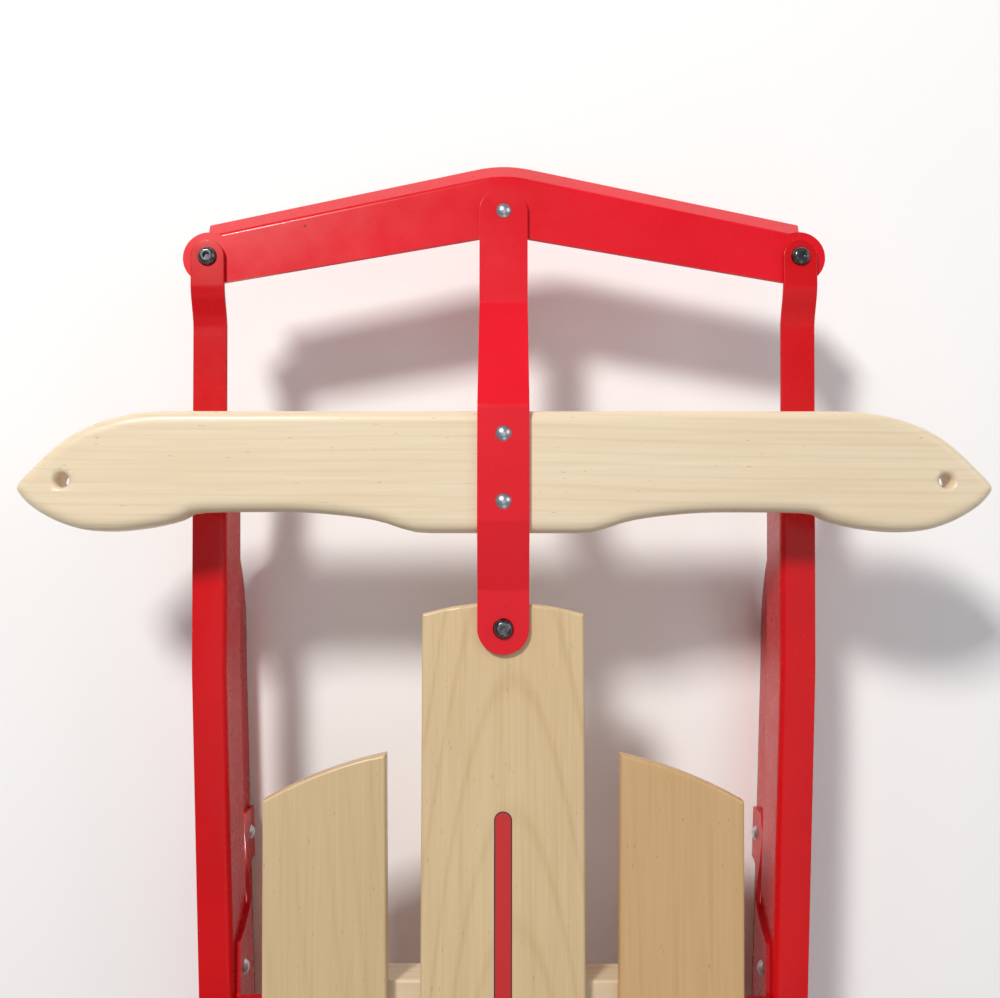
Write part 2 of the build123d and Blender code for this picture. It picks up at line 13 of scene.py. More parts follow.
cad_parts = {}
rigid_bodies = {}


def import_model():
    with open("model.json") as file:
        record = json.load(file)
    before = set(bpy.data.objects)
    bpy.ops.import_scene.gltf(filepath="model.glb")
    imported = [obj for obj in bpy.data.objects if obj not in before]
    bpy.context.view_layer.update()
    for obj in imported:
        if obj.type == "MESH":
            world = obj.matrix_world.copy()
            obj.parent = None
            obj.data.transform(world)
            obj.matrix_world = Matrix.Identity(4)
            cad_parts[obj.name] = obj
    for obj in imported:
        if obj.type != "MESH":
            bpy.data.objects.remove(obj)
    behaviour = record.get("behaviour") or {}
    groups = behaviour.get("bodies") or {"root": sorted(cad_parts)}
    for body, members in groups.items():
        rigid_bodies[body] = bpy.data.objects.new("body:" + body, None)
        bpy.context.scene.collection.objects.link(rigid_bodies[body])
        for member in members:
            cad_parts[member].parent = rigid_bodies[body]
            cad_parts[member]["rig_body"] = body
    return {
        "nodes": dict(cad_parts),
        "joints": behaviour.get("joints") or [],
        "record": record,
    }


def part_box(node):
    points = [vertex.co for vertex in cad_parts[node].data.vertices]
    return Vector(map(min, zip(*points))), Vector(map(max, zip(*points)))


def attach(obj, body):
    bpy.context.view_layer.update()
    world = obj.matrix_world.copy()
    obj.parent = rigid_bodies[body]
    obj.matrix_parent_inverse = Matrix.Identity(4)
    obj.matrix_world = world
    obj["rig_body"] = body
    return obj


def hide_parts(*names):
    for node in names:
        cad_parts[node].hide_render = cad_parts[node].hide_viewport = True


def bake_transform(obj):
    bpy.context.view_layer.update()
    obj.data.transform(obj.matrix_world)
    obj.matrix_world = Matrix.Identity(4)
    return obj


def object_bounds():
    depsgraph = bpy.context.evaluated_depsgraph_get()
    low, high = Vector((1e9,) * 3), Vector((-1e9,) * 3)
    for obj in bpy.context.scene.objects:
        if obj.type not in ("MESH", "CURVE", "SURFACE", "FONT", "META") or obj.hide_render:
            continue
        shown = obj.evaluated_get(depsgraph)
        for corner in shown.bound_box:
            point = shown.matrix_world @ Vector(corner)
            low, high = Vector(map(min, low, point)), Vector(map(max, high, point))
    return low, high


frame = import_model()
CAD_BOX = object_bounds()

LOG = logging.getLogger("sled")
MM = 0.001

Colour = tuple[float, float, float]
Ring = list[Vector]
Place = tuple[float, float, float]  # distance ahead of the hinge, height, slope in radians
Amount = Union["Wire", float, int]


# ---------------------------------------------------------------- shader bench


class Wire:
    """One value in a material. Arithmetic on it adds the nodes that work it out."""

    def __init__(self, bench: "Bench", socket: bpy.types.NodeSocket) -> None:
        """Holds the bench that the value lies on, and the socket it comes out of."""
        self.bench = bench
        self.socket = socket

    def _math(self, operation: str, *values: Amount) -> "Wire":
        """Adds one Math node.

        Args:
            operation: the Math node's operation.
            values: its inputs, in order.

        Returns:
            The node's result.
        """
        return self.bench.add("ShaderNodeMath", {"operation": operation}, dict(enumerate(values)))

    def __add__(self, other: Amount) -> "Wire":
        """Sum."""
        return self._math("ADD", self, other)

    def __radd__(self, other: Amount) -> "Wire":
        """Sum, with the number first."""
        return self._math("ADD", other, self)

    def __sub__(self, other: Amount) -> "Wire":
        """Difference."""
        return self._math("SUBTRACT", self, other)

    def __rsub__(self, other: Amount) -> "Wire":
        """Difference, with the number first."""
        return self._math("SUBTRACT", other, self)

    def __mul__(self, other: Amount) -> "Wire":
        """Product."""
        return self._math("MULTIPLY", self, other)

    def __rmul__(self, other: Amount) -> "Wire":
        """Product, with the number first."""
        return self._math("MULTIPLY", other, self)

    def __pow__(self, power: float) -> "Wire":
        """Power."""
        return self._math("POWER", self, power)

    def sine(self) -> "Wire":
        """Sine of the value in radians."""
        return self._math("SINE", self)

    def at_least(self, floor: Amount) -> "Wire":
        """The larger of the value and floor."""
        return self._math("MAXIMUM", self, floor)

    def ramp(self, low: float, high: float) -> "Wire":
        """Goes smoothly from 0 at low to 1 at high.

        Args:
            low: value that gives 0.
            high: value that gives 1; below low it turns the ramp round.

        Returns:
            The eased value, from 0 to 1.
        """
        rising = low < high
        ends = (low, high) if rising else (high, low)
        eased = self.bench.add(
            "ShaderNodeMapRange",
            {"interpolation_type": "SMOOTHSTEP"},
            {"Value": self, "From Min": ends[0], "From Max": ends[1]},
        )
        return eased if rising else 1 - eased


class Bench:
    """A material's node tree, with the few ways of adding to it that the finishes use."""

    def __init__(self, name: str) -> None:
        """Starts an empty material with a Principled shader.

        Args:
            name: the material's name.
        """
        self.material = bpy.data.materials.new(name)
        self.material.use_nodes = True
        self.tree = self.material.node_tree
        self.tree.nodes.clear()
        self.shader = self.tree.nodes.new("ShaderNodeBsdfPrincipled")
        end = self.tree.nodes.new("ShaderNodeOutputMaterial")
        self.tree.links.new(self.shader.outputs["BSDF"], end.inputs["Surface"])
        self.place = self.add("ShaderNodeTexCoord", {}, {}, "Object")

    def fill(self, node: bpy.types.Node, key: Union[int, str], value: object) -> None:
        """Gives one input its link or its constant.

        Args:
            node: the node that has the input.
            key: the input's name or number.
            value: a Wire, or what the socket holds itself.
        """
        if isinstance(value, Wire):
            self.tree.links.new(value.socket, node.inputs[key])
        else:
            node.inputs[key].default_value = value

    def add(self, kind: str, settings: dict, inputs: dict, output: Union[int, str] = 0) -> Wire:
        """Adds any node.

        Args:
            kind: the node's type.
            settings: its own settings, set before its inputs.
            inputs: its sockets' values or links, by name or number.
            output: the output that is wanted, by name or number.

        Returns:
            The value of that output.
        """
        node = self.tree.nodes.new(kind)
        for key, value in settings.items():
            setattr(node, key, value)
        for key, value in inputs.items():
            self.fill(node, key, value)
        return Wire(self, node.outputs[output])

    def axes(self) -> tuple[Wire, Wire, Wire]:
        """The surface point's X, Y and Z in metres."""
        parts = [self.add("ShaderNodeSeparateXYZ", {}, {0: self.place}, i) for i in range(3)]
        return parts[0], parts[1], parts[2]

    def point(self, x: Amount, y: Amount, z: Amount) -> Wire:
        """A vector made of three values."""
        return self.add("ShaderNodeCombineXYZ", {}, {0: x, 1: y, 2: z})

    def noise(self, scale: float, detail: float = 2.0, where: Union[Wire, None] = None) -> Wire:
        """Soft random pattern.

        Args:
            scale: features per unit of the coordinates.
            detail: octaves of finer noise.
            where: coordinates, or the surface point.

        Returns:
            The pattern, about 0.5 on average.
        """
        return self.add(
            "ShaderNodeTexNoise",
            {},
            {"Vector": where or self.place, "Scale": scale, "Detail": detail},
        )

    def blend(self, factor: Amount, first: Union[Wire, Colour], second: Union[Wire, Colour]) -> Wire:
        """Mixes two colours.

        Args:
            factor: share of the second colour.
            first: colour at factor 0.
            second: colour at factor 1.

        Returns:
            The mixed colour.
        """
        colours = [c if isinstance(c, Wire) else (*c, 1.0) for c in (first, second)]
        return self.add(
            "ShaderNodeMix", {"data_type": "RGBA"}, {0: factor, 6: colours[0], 7: colours[1]}, 2
        )

    def bump(self, height: Wire, strength: float, distance: float) -> Wire:
        """Turns a height pattern into a surface normal.

        Args:
            height: the pattern.
            strength: how much of it shows.
            distance: height of its full range in metres.

        Returns:
            The bent normal.
        """
        return self.add(
            "ShaderNodeBump", {}, {"Strength": strength, "Distance": distance, "Height": height}
        )

    def dress(self, **inputs: object) -> bpy.types.Material:
        """Sets the shader's sockets and returns the material.

        Args:
            inputs: values by socket name, with _ for a space.

        Returns:
            The finished material.
        """
        for key, value in inputs.items():
            self.fill(self.shader, key.replace("_", " "), value)
        return self.material


# ---------------------------------------------------------------- finishes


class Grain(Enum):
    """Which way a board's grain runs."""

    ALONG_SLED = "along"
    ACROSS_SLED = "across"


@dataclass(frozen=True)
class Stripe:
    """A painted stripe down a slat's middle, with a round front end and thin dark borders."""

    front: float
    half_width: float = 5.2 * MM
    border: float = 0.75 * MM
    softness: float = 0.1 * MM
    roughness: float = 0.3 * MM
    paint: Colour = (0.53, 0.010, 0.012)
    line: Colour = (0.018, 0.016, 0.018)


@dataclass(frozen=True)
class Birch:
    """Varnished birch: growth rings cut at a slant, fine fibres and short dark flecks."""

    name: str
    pale: Colour
    warm: Colour
    grain: Grain = Grain.ALONG_SLED
    heart: float = 0.01
    depth: float = 0.05
    slant: float = 0.06
    seed: float = 0.0
    ring_gap: float = 7.0 * MM
    ring_strength: float = 0.5
    ring_wander: float = 0.05
    late_wood: int = 9
    fibres: tuple[float, float] = (520.0, 14.0)
    streaks: tuple[float, float] = (95.0, 3.0)
    specks: tuple[float, float] = (1150.0, 160.0)
    fleck_amount: float = 0.55
    rough: float = 0.34
    varnish: float = 0.22
    stripe: Union[Stripe, None] = None

    def strands(self, bench: Bench, pitch: tuple[float, float], detail: float) -> Wire:
        """Makes a pattern that is drawn out along the grain.

        Args:
            bench: the material's bench.
            pitch: features per metre across the grain and along it.
            detail: octaves of finer noise.

        Returns:
            The pattern, about 0.5 on average.
        """
        x, y, z = bench.axes()
        across, along = (x, y) if self.grain is Grain.ALONG_SLED else (y, x)
        fine, coarse = pitch
        place = bench.point(across * fine, along * coarse + self.seed, z * fine)
        return bench.noise(1.0, detail, place)

    def painted(self, bench: Bench, wood: Wire, ragged: Wire) -> Wire:
        """Lays the stripe over the wood, if there is one.

        Args:
            bench: the material's bench.
            wood: the bare wood's colour.
            ragged: pattern that roughens the paint's edge.

        Returns:
            The wood's colour with the stripe on it.
        """
        if not self.stripe:
            return wood
        x, y, _ = bench.axes()
        ahead = (y - self.stripe.front).at_least(0.0)
        inked = (x * x + ahead**2) ** 0.5 + (ragged - 0.5) * self.stripe.roughness
        soft = self.stripe.softness
        outer = self.stripe.half_width
        core = outer - self.stripe.border
        lined = bench.blend(inked.ramp(outer + soft, outer - soft), wood, self.stripe.line)
        return bench.blend(inked.ramp(core + soft, core - soft), lined, self.stripe.paint)

    def material(self) -> bpy.types.Material:
        """Builds the wood.

        Returns:
            The board's material.
        """
        bench = Bench(self.name)
        x, y, z = bench.axes()
        across, along = (x, y) if self.grain is Grain.ALONG_SLED else (y, x)
        drift = bench.noise(1.0, 1.0, bench.point(across * 4 + self.seed, along * 2.2, z * 4))
        side = across - self.heart + (drift - 0.5) * self.ring_wander
        down = z + along * self.slant + self.depth
        radius = (side * side + down * down) ** 0.5
        pace = bench.noise(1.0, 1.0, bench.point(radius * 60, self.seed, 0.0))
        rings = (radius * (2 * math.pi / self.ring_gap) + pace * 5).sine() * 0.5 + 0.5
        late = rings**self.late_wood
        fibre = self.strands(bench, self.fibres, 4.0)
        streak = self.strands(bench, self.streaks, 2.0)
        cloud = bench.noise(5.0, 2.0, bench.point(across + self.seed, along * 0.6, z))
        fleck = self.strands(bench, self.specks, 1.0).ramp(0.74, 0.80)
        fine = (fibre - 0.5) * 0.9 + (streak - 0.5) * 0.5
        tone = late * self.ring_strength + fine + (cloud - 0.5) * 0.9
        brown = (self.warm[0] * 0.5, self.warm[1] * 0.38, self.warm[2] * 0.26)
        colour = bench.blend(tone.ramp(-0.45, 0.95), self.pale, self.warm)
        colour = bench.blend(fleck * self.fleck_amount, colour, brown)
        return bench.dress(
            Base_Color=self.painted(bench, colour, fibre),
            Roughness=self.rough + fibre * 0.16,
            Coat_Weight=self.varnish,
            Coat_Roughness=0.22,
            Normal=bench.bump(fibre * 0.7 - fleck * 0.5 + late * 0.15, 0.16, 0.25 * MM),
        )


@dataclass(frozen=True)
class Enamel:
    """Gloss paint on steel, with faint ripple, dust in the gloss and a few fine chips."""

    name: str
    colour: Colour
    deep: Colour
    worn_sole: float = 0.0
    worn_fade: float = 1.2 * MM
    worn_ragged: float = 8.0 * MM
    rough: float = 0.24
    shine: float = 0.24
    lacquer: float = 0.12
    steel: Colour = (0.50, 0.50, 0.49)
    rust: Colour = (0.07, 0.03, 0.03)

    def material(self) -> bpy.types.Material:
        """Builds the paint.

        Returns:
            The painted steel's material.
        """
        bench = Bench(self.name)
        cloud = bench.noise(11.0, 3.0)
        ripple = bench.noise(380.0, 2.0)
        dust = bench.noise(60.0, 5.0)
        chips = bench.noise(230.0, 3.0).ramp(0.735, 0.76) * bench.noise(14.0, 1.0).ramp(0.5, 0.66)
        colour = bench.blend(cloud.ramp(0.3, 0.7), self.colour, self.deep)
        colour = bench.blend(chips, colour, self.rust)
        rough = self.rough + (dust - 0.3).at_least(0.0) * 0.22 + chips * 0.3
        metal: Amount = 0.0
        height = ripple * 0.3 - chips * 0.7
        if self.worn_sole:
            _, y, z = bench.axes()
            ragged = bench.noise(1.0, 4.0, bench.point(0.0, y * 70, z * 240))
            height_above = z + (ragged - 0.5) * self.worn_ragged
            bare = height_above.ramp(self.worn_sole, self.worn_sole - self.worn_fade)
            scrape = bench.noise(1.0, 3.0, bench.point(y * 12, z * 900, 0.0))
            steel = bench.blend(scrape, self.steel, tuple(c * 0.62 for c in self.steel))
            colour = bench.blend(bare, colour, steel)
            rough = rough + bare * 0.1 + bare * scrape * 0.15
            metal = bare
            height = height - bare * 0.8 + bare * scrape * 0.3
        return bench.dress(
            Base_Color=colour,
            Roughness=rough,
            Metallic=metal,
            Specular_IOR_Level=self.shine,
            Coat_Weight=self.lacquer,
            Coat_Roughness=0.1,
            Normal=bench.bump(height, 0.12, 0.15 * MM),
        )


@dataclass(frozen=True)
class BareMetal:
    """Plated or blackened steel, with a mottled plating and fine tumbling marks."""

    name: str
    light: Colour
    dark: Colour
    rough: float
    mottle_scale: float = 420.0
    mark_scale: float = 1600.0

    def material(self) -> bpy.types.Material:
        """Builds the plated steel.

        Returns:
            The fastener's material.
        """
        bench = Bench(self.name)
        mottle = bench.noise(self.mottle_scale, 3.0)
        marks = bench.noise(self.mark_scale, 2.0)
        colour = bench.blend(mottle.ramp(0.3, 0.72), self.light, self.dark)
        return bench.dress(
            Base_Color=colour,
            Roughness=self.rough + (marks - 0.5) * 0.16 + (mottle - 0.5) * 0.12,
            Metallic=1.0,
            Normal=bench.bump(marks * 0.5 + mottle * 0.5, 0.14, 0.08 * MM),
        )


# ---------------------------------------------------------------- workshop


@dataclass(frozen=True)
class Piece:
    """A rebuilt piece's slot, and the CAD nodes that it stands for."""

    slot: str
    stands_for: tuple[str, ...]


class Workshop:
    """Hand tools for meshes. Each works on one object, which it selects first."""

    MERGE = 0.01 * MM
    FLAT = math.radians(0.4)
    SHARP = math.radians(42)
    SMOOTH = math.radians(40)
    TURNED_SIDES = 32

    @staticmethod
    def only(obj: bpy.types.Object) -> None:
        """Selects one object and nothing else.

        Args:
            obj: the object that the next operator works on.
        """
        for other in bpy.context.selected_objects:
            other.select_set(False)
        obj.select_set(True)
        bpy.context.view_layer.objects.active = obj

    @staticmethod
    def adopt(name: str, mesh: bpy.types.Mesh) -> bpy.types.Object:
        """Puts a mesh in the scene under a name of its own.

        Args:
            name: the object's name.
            mesh: the mesh that it shows.

        Returns:
            The new object, selected.
        """
        obj = bpy.data.objects.new(name, mesh)
        bpy.context.scene.collection.objects.link(obj)
        Workshop.only(obj)
        return obj

    @staticmethod
    def skin(name: str, rings: Sequence[Ring]) -> bpy.types.Object:
        """Models a closed skin through rings of points.

        Args:
            name: the new object's name.
            rings: rings with the same number of points, in order.

        Returns:
            The closed mesh object, with its normals outward.
        """
        made = bmesh.new()
        lines = [[made.verts.new(p) for p in ring] for ring in rings]
        count = len(lines[0])
        for one, two in zip(lines, lines[1:]):
            for i in range(count):
                j = (i + 1) % count
                made.faces.new((one[i], one[j], two[j], two[i]))
        made.faces.new(list(reversed(lines[0])))
        made.faces.new(lines[-1])
        bmesh.ops.recalc_face_normals(made, faces=made.faces)
        mesh = bpy.data.meshes.new(name)
        made.to_mesh(mesh)
        made.free()
        return Workshop.adopt(name, mesh)

    @staticmethod
    def copy_of(name: str, node: str) -> bpy.types.Object:
        """Copies a CAD node's mesh, merges its loose triangles and rejoins its flat faces.

        Args:
            name: the copy's name.
            node: the CAD node.

        Returns:
            The copy, ready for softened edges.
        """
        obj = Workshop.adopt(name, frame["nodes"][node].data.copy())
        obj.data.materials.clear()
        bpy.ops.object.mode_set(mode="EDIT")
        bpy.ops.mesh.select_all(action="SELECT")
        bpy.ops.mesh.remove_doubles(threshold=Workshop.MERGE)
        bpy.ops.mesh.dissolve_limited(angle_limit=Workshop.FLAT)
        bpy.ops.object.mode_set(mode="OBJECT")
        if obj.data.has_custom_normals:
            bpy.ops.mesh.customdata_custom_splitnormals_clear()
        return obj

    @staticmethod
    def soften(obj: bpy.types.Object, width: float, steps: int = 2) -> None:
        """Rounds a piece's sharp edges.

        Args:
            obj: the piece.
            width: width of the rounding, or 0 to leave the edges.
            steps: faces across it.
        """
        Workshop.only(obj)
        if width:
            bevel = obj.modifiers.new("edges", "BEVEL")
            bevel.width = width
            bevel.segments = steps
            bevel.limit_method = "ANGLE"
            bevel.angle_limit = Workshop.SHARP
            bevel.use_clamp_overlap = True
            bpy.ops.object.modifier_apply(modifier=bevel.name)
        bpy.ops.object.shade_smooth_by_angle(angle=Workshop.SMOOTH)
        weighted = obj.modifiers.new("normals", "WEIGHTED_NORMAL")
        weighted.keep_sharp = True
        bpy.ops.object.modifier_apply(modifier=weighted.name)

    @staticmethod
    def carve(obj: bpy.types.Object, tools: Iterable[bpy.types.Object]) -> None:
        """Cuts each tool's shape out of a piece and throws the tool away.

        Args:
            obj: the piece.
            tools: closed objects of the shapes to remove.
        """
        for tool in tools:
            Workshop.only(obj)
            cut = obj.modifiers.new("cut", "BOOLEAN")
            cut.operation = "DIFFERENCE"
            cut.solver = "EXACT"
            cut.object = tool
            bpy.ops.object.modifier_apply(modifier=cut.name)
            bpy.data.objects.remove(tool)

    @staticmethod
    def turned(name: str, centre: Vector, profile: Sequence[tuple[float, float]]) -> bpy.types.Object:
        """Turns a round upright tool or piece.

        Args:
            name: the object's name.
            centre: a point on its axis.
            profile: its radii and heights, from the bottom up.

        Returns:
            The turned object.
        """
        sides = Workshop.TURNED_SIDES
        turn = [2 * math.pi * i / sides for i in range(sides)]
        rings = [
            [Vector((centre.x + r * math.cos(a), centre.y + r * math.sin(a), z)) for a in turn]
            for r, z in profile
        ]
        return Workshop.skin(name, rings)

    @staticmethod
    def paint(obj: bpy.types.Object, material: bpy.types.Material) -> None:
        """Gives every material slot of an object one material.

        Args:
            obj: the object.
            material: its finish.
        """
        if not obj.material_slots:
            obj.data.materials.append(material)
        for slot in obj.material_slots:
            slot.material = material

    @staticmethod
    def hand_over(obj: bpy.types.Object, piece: Piece, material: bpy.types.Material) -> None:
        """Paints a finished piece and lets it stand for its CAD nodes.

        Args:
            obj: the piece.
            piece: its slot and the nodes that it stands for.
            material: its finish.
        """
        Workshop.paint(obj, material)
        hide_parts(*piece.stands_for)
        LOG.info("%s: %d faces", obj.name, len(obj.data.polygons))


def rounded(points: Sequence[tuple[float, float, float]], steps: int = 3) -> list[tuple[float, float]]:
    """Rounds the corners of a closed outline.

    Args:
        points: the corners, each with the radius that it gets.
        steps: pieces of each round.

    Returns:
        The outline's points in order.
    """
    made = []
    for i, (px, py, radius) in enumerate(points):
        here = Vector((px, py))
        back = (Vector(points[i - 1][:2]) - here).normalized()
        ahead = (Vector(points[(i + 1) % len(points)][:2]) - here).normalized()
        half = back.angle(ahead) / 2
        start = here + back * (radius / math.tan(half))
        end = here + ahead * (radius / math.tan(half))
        middle = here + (back + ahead).normalized() * (radius / math.sin(half))
        first = start - middle
        sweep = first.angle_signed(end - middle)
        for k in range(steps + 1):
            arm = first.copy()
            arm.rotate(Matrix.Rotation(-sweep * k / steps, 2))
            made.append(tuple(middle + arm))
    return made


def eased(value: float, low: float, high: float) -> float:
    """Goes smoothly from 0 at low to 1 at high.

    Args:
        value: the value to place between them.
        low: value that gives 0.
        high: value that gives 1.

    Returns:
        The eased share, from 0 to 1.
    """
    share = min(1.0, max(0.0, (value - low) / (high - low)))
    return share * share * (3 - 2 * share)


# ---------------------------------------------------------------- steel sides


class Side(Enum):
    """Left and right, by the sign of X."""

    LEFT = -1
    RIGHT = 1

    @property
    def word(self) -> str:
        """The side's name in node and body names."""
        return self.name.lower()


@dataclass
class SteelSide:
    """One side's rail and runner, each a single spring-steel strip that bends when steering."""

    side: Side
    steel: float = 3.0 * MM
    rail_width: float = 21.0 * MM
    rail_depth: float = 35.0 * MM
    rail_bend: float = 4.0 * MM
    edge: float = 0.7 * MM
    lip_end: float = 110.0 * MM
    step_start: float = 213.0 * MM
    step_end: float = 239.0 * MM
    blade_thick: float = 5.0 * MM
    blade_depth: float = 25.0 * MM
    blade_offset: float = 2.0 * MM
    heel_bend: float = 57.5 * MM
    nose_bend: float = 90.0 * MM
    nose_slope: float = 45.0
    nose_flat: float = 1.7 * MM
    nose_end: float = 152.0 * MM
    sole_edge: float = 1.6 * MM
    flex: float = 150.0 * MM
    toe: float = 0.0405
    screw_hole: float = 3.1 * MM
    rail_ease: float = 0.5 * MM
    blade_ease: float = 0.6 * MM
    round_step: int = 7

    def __post_init__(self) -> None:
        """Reads the shared places from the frame."""
        joint = next(j for j in frame["joints"] if j["name"] == f"tip_{self.side.word}_flex")
        self.hinge = Vector((abs(joint["pos_m"][0]), joint["pos_m"][1], 0.0))
        low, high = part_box(f"bumper_screw_{self.side.word}")
        self.tip = Vector((abs(low.x + high.x) / 2, (low.y + high.y) / 2, 0.0))
        self.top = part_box(f"side_rail_{self.side.word}")[1].z
        self.tip_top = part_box(f"rail_tip_{self.side.word}")[1].z
        ahead = self.tip - self.hinge
        self.arm = ahead.length
        self.tip_lean = math.atan2(ahead.x, ahead.y)
        self.rear_lean = math.atan(self.toe)
        self.rear = (CAD_BOX[0].y - self.hinge.y) / math.cos(self.rear_lean)

    def spot(self, along: float, out: float, height: float) -> Vector:
        """Turns the side's own measures into a place on the sled.

        Args:
            along: distance ahead of the hinge.
            out: distance outboard of the rail's centre line.
            height: height above the ground.

        Returns:
            The place in the row frame.
        """
        lean = self.rear_lean if along < 0 else self.tip_lean
        way = Vector((math.sin(lean), math.cos(lean), 0.0))
        bend = (self.rear_lean + self.tip_lean) / 2 if abs(along) < 1e-9 else lean
        outward = Vector((math.cos(bend), -math.sin(bend), 0.0))
        place = self.hinge + way * along + outward * out + Vector((0.0, 0.0, height))
        place.x *= self.side.value
        return place

    def stations(self, start: float, end: float) -> list[float]:
        """Places along the side, close together where the strip bends.

        Args:
            start: rear end.
            end: front end.

        Returns:
            Distances ahead of the hinge, rising.
        """
        coarse = [start + (end - start) * i / 24 for i in range(25)]
        fine = [(8 * i - 20) * MM for i in range(26)]
        inside = [s for s in fine if start < s < end]
        outside = [s for s in coarse if not -28 * MM < s < 188 * MM]
        return sorted({round(s, 6) for s in [start, end, *inside, *outside]})

    def angle_section(self) -> list[tuple[float, float]]:
        """Draws the rail's section: flat top, round bend and down-turned inner edge.

        Returns:
            Its corners as (distance outboard, height).
        """
        half = self.rail_width / 2
        low = self.top - self.rail_depth
        inner = self.rail_bend - self.steel
        return rounded(
            [
                (half, self.top, self.edge),
                (-half, self.top, self.rail_bend),
                (-half, low, self.edge),
                (self.steel - half, low, self.edge),
                (self.steel - half, self.top - self.steel, inner),
                (half, self.top - self.steel, self.edge),
            ]
        )

    def half_widths(self) -> list[tuple[float, float]]:
        """Follows the flat front strip up its step and round its end.

        Returns:
            Pairs of a distance ahead of the hinge and half the width there.
        """
        half = self.rail_width / 2
        run = self.stations(self.lip_end, self.step_start)
        step = self.step_end - self.step_start
        run += [self.step_start + step * i / 10 for i in range(1, 11)]
        turns = [math.radians(self.round_step * i) for i in range(1, 13)]
        straight = [(s, half) for s in [*run, self.arm]]
        return straight + [(self.arm + half * math.sin(t), half * math.cos(t)) for t in turns]

    def front_strip(self) -> bpy.types.Object:
        """Models the rail's flat front, with its step and its screw hole.

        Returns:
            The strip, not yet joined to the rest of the rail.
        """
        rise = self.tip_top - self.top
        rings = []
        for s, wide in self.half_widths():
            up = self.top + rise * eased(s, self.step_start, self.step_end)
            down = up - self.steel
            corners = ((wide, up), (-wide, up), (-wide, down), (wide, down))
            outline = rounded([(w, z, self.edge) for w, z in corners])
            rings.append([self.spot(s, out, z) for out, z in outline])
        strip = Workshop.skin(f"strip_{self.side.word}", rings)
        reach = 10 * MM
        hole = [(self.screw_hole, self.tip_top - reach), (self.screw_hole, self.tip_top + reach)]
        Workshop.carve(strip, [Workshop.turned("hole", self.spot(self.arm, 0.0, 0.0), hole)])
        return strip

    def rail(self) -> bpy.types.Object:
        """Models the rail from its rear end to its round end on the bumper.

        Returns:
            The whole rail.
        """
        section = self.angle_section()
        rings = [
            [self.spot(s, out, z) for out, z in section]
            for s in self.stations(self.rear, self.lip_end)
        ]
        obj = Workshop.skin(f"rail_{self.side.word}", rings)
        strip = self.front_strip()
        Workshop.only(obj)
        strip.select_set(True)
        bpy.ops.object.join()
        Workshop.soften(obj, self.rail_ease)
        return obj

    @staticmethod
    def bent(flat_at: float, height: float, radius: float, slopes: Iterable[float]) -> list[Place]:
        """Follows a round bend of the runner's mid-line.

        Args:
            flat_at: distance ahead of the hinge where the bend's circle is level.
            height: its height there.
            radius: its radius, negative where the bend curls down.
            slopes: the slopes wanted along it, in radians.

        Returns:
            The place and slope at each.
        """
        return [
            (flat_at + radius * math.sin(t), height + radius * (1 - math.cos(t)), t) for t in slopes
        ]

    def blade_path(self) -> list[Place]:
        """Follows the runner's mid-line up its heel, along the ground and up its nose.

        Returns:
            The place and slope at each station, from the heel's top to the nose's end.
        """
        mid = self.blade_depth / 2
        under = self.top - self.steel
        back = self.rear + self.blade_depth / 2
        slope = math.radians(self.nose_slope)
        reach = self.nose_bend * math.tan(slope / 2)
        high = under - mid
        upper = self.nose_end - self.nose_flat - reach
        lower = upper - (high - mid) / math.tan(slope)
        flats = self.stations(back + self.heel_bend, lower - reach)
        heel_slopes = [-math.pi / 2 * (12 - i) / 12 for i in range(13)]
        nose_slopes = [slope * i / 10 for i in range(11)]
        path = [(back, under, -math.pi / 2)]
        path += self.bent(back + self.heel_bend, mid, self.heel_bend, heel_slopes)
        path += [(s, mid, 0.0) for s in flats[1:-1]]
        path += self.bent(lower - reach, mid, self.nose_bend, nose_slopes)
        path += self.bent(upper + reach, high, -self.nose_bend, reversed(nose_slopes))
        path.append((self.nose_end, high, 0.0))
        return path

    def runner(self) -> bpy.types.Object:
        """Models the runner from its upturned heel to its nose under the rail.

        Returns:
            The runner's blade.
        """
        half, deep = self.blade_thick / 2, self.blade_depth / 2
        section = rounded(
            [
                (half, deep, self.edge),
                (-half, deep, self.edge),
                (-half, -deep, self.sole_edge),
                (half, -deep, self.sole_edge),
            ]
        )
        rings = []
        for s, height, slope in self.blade_path():
            back, up, out = math.sin(slope), math.cos(slope), self.blade_offset
            rings.append([self.spot(s - w * back, out + u, height + w * up) for u, w in section])
        obj = Workshop.skin(f"runner_blade_{self.side.word}", rings)
        Workshop.soften(obj, self.blade_ease)
        return obj

    def build(self, rail_paint_shaded: bpy.types.Material, blade_paint_shaded: bpy.types.Material) -> None:
        """Makes both strips.

        Args:
            rail_paint_shaded: finish of the rail, a darker copy of the strap's red paint; the darkness
                is painted shade.
            blade_paint_shaded: finish of the runner, a still darker copy of that red paint; the darkness
                is painted shade.
        """
        word = self.side.word
        rail_nodes = nodes_named(f"rail_tip_{word}", f"side_rail_{word}", f"rail_web_{word}")
        blade_nodes = (f"runner_{word}", f"runner_nose_{word}")
        parts = [
            (self.rail(), Piece("red_enamel", rail_nodes), rail_paint_shaded),
            (self.runner(), Piece("red_runner", blade_nodes), blade_paint_shaded),
        ]
        just_behind_hinge = -1e-6
        start = self.spot(just_behind_hinge, 0.0, self.top)
        end = self.spot(self.flex, 0.0, self.top)
        for obj, piece, paint in parts:
            Workshop.hand_over(obj, piece, paint)
            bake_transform(obj)


# ---------------------------------------------------------------- steering bar


